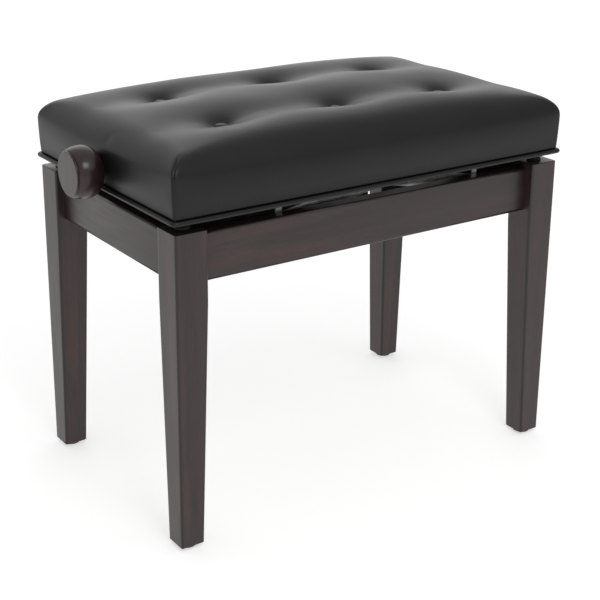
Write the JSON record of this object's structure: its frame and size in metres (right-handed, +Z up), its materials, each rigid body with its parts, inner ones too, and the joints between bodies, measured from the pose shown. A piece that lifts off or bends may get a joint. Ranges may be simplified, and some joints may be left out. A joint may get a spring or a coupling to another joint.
{
  "type": "adjustable piano bench",
  "caption": "Height-adjustable piano bench: buttoned leather seat on a hidden scissor lift raised by a side knob, on tapered square wooden legs.",
  "frame": {"origin": "on the floor, at the middle of the whole bench's box, knob included", "axes": "+X along the bench's length with the knob at -X, -Y the front, +Z up"},
  "size_m": [0.5856, 0.336, 0.463],
  "materials": {
    "dark_wood": "dark rosewood stain under satin lacquer",
    "block_wood": "plain planed wood, unlacquered",
    "plywood": "bare plywood",
    "foam": "cut foam",
    "black_leather": "black artificial leather, fine grain, soft sheen",
    "rubber": "black rubber",
    "zinc_steel": "zinc-plated steel",
    "dark_steel": "black painted steel"
  },
  "bodies": {
    "base": {"leg_front_left": "dark_wood", "leg_front_right": "dark_wood", "leg_rear_right": "dark_wood", "leg_rear_left": "dark_wood", "glide_front_left": "rubber", "glide_front_right": "rubber", "glide_rear_right": "rubber", "glide_rear_left": "rubber", "bumper_front_left": "rubber", "bumper_front_right": "rubber", "bumper_rear_right": "rubber", "bumper_rear_left": "rubber", "apron_front": "dark_wood", "apron_rear": "dark_wood", "apron_left": "dark_wood", "apron_right": "dark_wood", "corner_block_front_left": "block_wood", "corner_block_front_right": "block_wood", "corner_block_rear_left": "block_wood", "corner_block_rear_right": "block_wood", "lower_rail_front": "zinc_steel", "lower_rail_rear": "zinc_steel", "lower_cross_left": "zinc_steel", "lower_cross_right": "zinc_steel"},
    "seat": {"seat_frame_front": "plywood", "seat_frame_rear": "plywood", "seat_frame_left": "plywood", "seat_frame_right": "plywood", "seat_board": "plywood", "seat_foam": "foam", "seat_cover": "black_leather", "seat_piping": "black_leather", "button_front_left": "black_leather", "button_front_middle": "black_leather", "button_front_right": "black_leather", "button_rear_left": "black_leather", "button_rear_middle": "black_leather", "button_rear_right": "black_leather", "upper_rail_front": "dark_steel", "upper_rail_rear": "dark_steel", "end_plate_left": "dark_steel", "end_plate_right": "dark_steel"},
    "screw": {"threaded_rod": "zinc_steel", "knob": "dark_wood"},
    "arms_outer": {"arm_outer_front": "zinc_steel", "arm_outer_rear": "zinc_steel", "pivot_shaft": "zinc_steel", "centre_shaft": "zinc_steel"},
    "arms_inner": {"arm_inner_front": "zinc_steel", "arm_inner_rear": "zinc_steel", "roller_shaft": "zinc_steel", "upper_pin_front": "zinc_steel", "upper_pin_rear": "zinc_steel"},
    "traveller": {"traveller_nut": "zinc_steel", "traveller_bar_front": "zinc_steel", "traveller_bar_rear": "zinc_steel"}
  },
  "joints": [
    {"name": "seat_lift", "type": "slide", "parent": "base", "child": "seat", "axis": [0, 0, 1], "range_m": [0, 0.08]},
    {"name": "arms_outer_turn", "type": "hinge", "parent": "base", "child": "arms_outer", "pos_m": [-0.10185, 0, 0.352], "axis": [0, -1, 0], "range_deg": [0, 16.61]},
    {"name": "arms_inner_turn", "type": "hinge", "parent": "arms_outer", "child": "arms_inner", "pos_m": [0.0408, 0, 0.378], "axis": [0, -1, 0], "range_deg": [-33.22, 0]},
    {"name": "traveller_turn", "type": "hinge", "parent": "arms_outer", "child": "traveller", "pos_m": [0.18345, 0, 0.404], "axis": [0, -1, 0], "range_deg": [-16.61, 0]},
    {"name": "knob_turn", "type": "hinge", "parent": "seat", "child": "screw", "pos_m": [-0.25, 0, 0.404], "axis": [1, 0, 0], "range_deg": [0, 3241]}
  ],
  "couplings": [
    {"joint": "arms_outer_turn", "follows": "seat_lift", "rad_per_m": 3.622},
    {"joint": "arms_inner_turn", "follows": "seat_lift", "rad_per_m": -7.244},
    {"joint": "traveller_turn", "follows": "seat_lift", "rad_per_m": -3.622},
    {"joint": "knob_turn", "follows": "seat_lift", "rad_per_m": 706.86}
  ]
}
